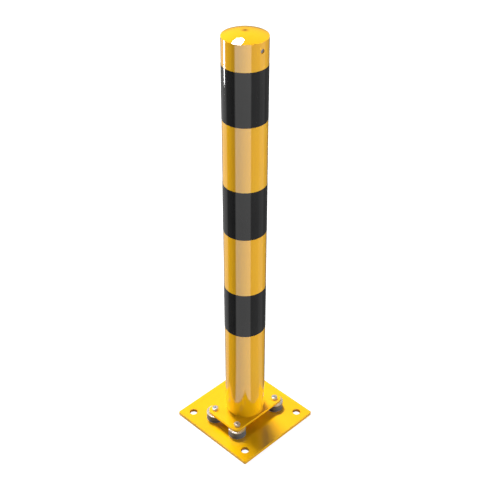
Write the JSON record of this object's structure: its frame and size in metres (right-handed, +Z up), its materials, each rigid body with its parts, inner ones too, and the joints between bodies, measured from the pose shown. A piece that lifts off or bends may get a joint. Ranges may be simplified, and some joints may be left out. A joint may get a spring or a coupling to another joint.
{
  "type": "barrier post on a rubber-buffer base",
  "caption": "Round banded barrier post with a domed cap, on a small plate that rubber buffers carry above a square base plate with anchor holes.",
  "frame": {"origin": "middle of the base plate's underside, on the ground", "axes": "+Z up along the post, +X towards the side that the cap's set screw faces, +Y along the long side of the upper plate"},
  "size_m": [0.22, 0.22, 0.95],
  "materials": {
    "yellow_paint": "gloss",
    "black_film": "gloss",
    "plated_steel": "satin",
    "rubber": "matt"
  },
  "bodies": {
    "base": {"base_plate": "yellow_paint", "buffer_1_bottom_disc": "plated_steel", "buffer_2_bottom_disc": "plated_steel", "buffer_3_bottom_disc": "plated_steel", "buffer_4_bottom_disc": "plated_steel", "buffer_1_base_screw": "plated_steel", "buffer_2_base_screw": "plated_steel", "buffer_3_base_screw": "plated_steel", "buffer_4_base_screw": "plated_steel"},
    "rubber_buffers": {"buffer_1_rubber": "rubber", "buffer_2_rubber": "rubber", "buffer_3_rubber": "rubber", "buffer_4_rubber": "rubber"},
    "post": {"upper_plate": "yellow_paint", "post_tube": "yellow_paint", "post_cap": "yellow_paint", "cap_set_screw": "plated_steel", "black_band_1": "black_film", "black_band_2": "black_film", "black_band_3": "black_film", "buffer_1_top_disc": "plated_steel", "buffer_2_top_disc": "plated_steel", "buffer_3_top_disc": "plated_steel", "buffer_4_top_disc": "plated_steel", "buffer_1_top_screw": "plated_steel", "buffer_2_top_screw": "plated_steel", "buffer_3_top_screw": "plated_steel", "buffer_4_top_screw": "plated_steel"}
  },
  "joints": [
    {"name": "tilt_about_long_side", "type": "hinge", "parent": "base", "child": "rubber_buffers", "pos_m": [0, 0, 0.018], "axis": [0, 1, 0], "range_deg": [-4, 4], "stiffness_Nm_per_rad": 1500, "deforming": ["buffer_1_rubber", "buffer_2_rubber", "buffer_3_rubber", "buffer_4_rubber"]},
    {"name": "tilt_about_short_side", "type": "hinge", "parent": "rubber_buffers", "child": "post", "pos_m": [0, 0, 0.018], "axis": [1, 0, 0], "range_deg": [-2.5, 2.5], "stiffness_Nm_per_rad": 4400, "deforming": ["buffer_1_rubber", "buffer_2_rubber", "buffer_3_rubber", "buffer_4_rubber"]}
  ]
}
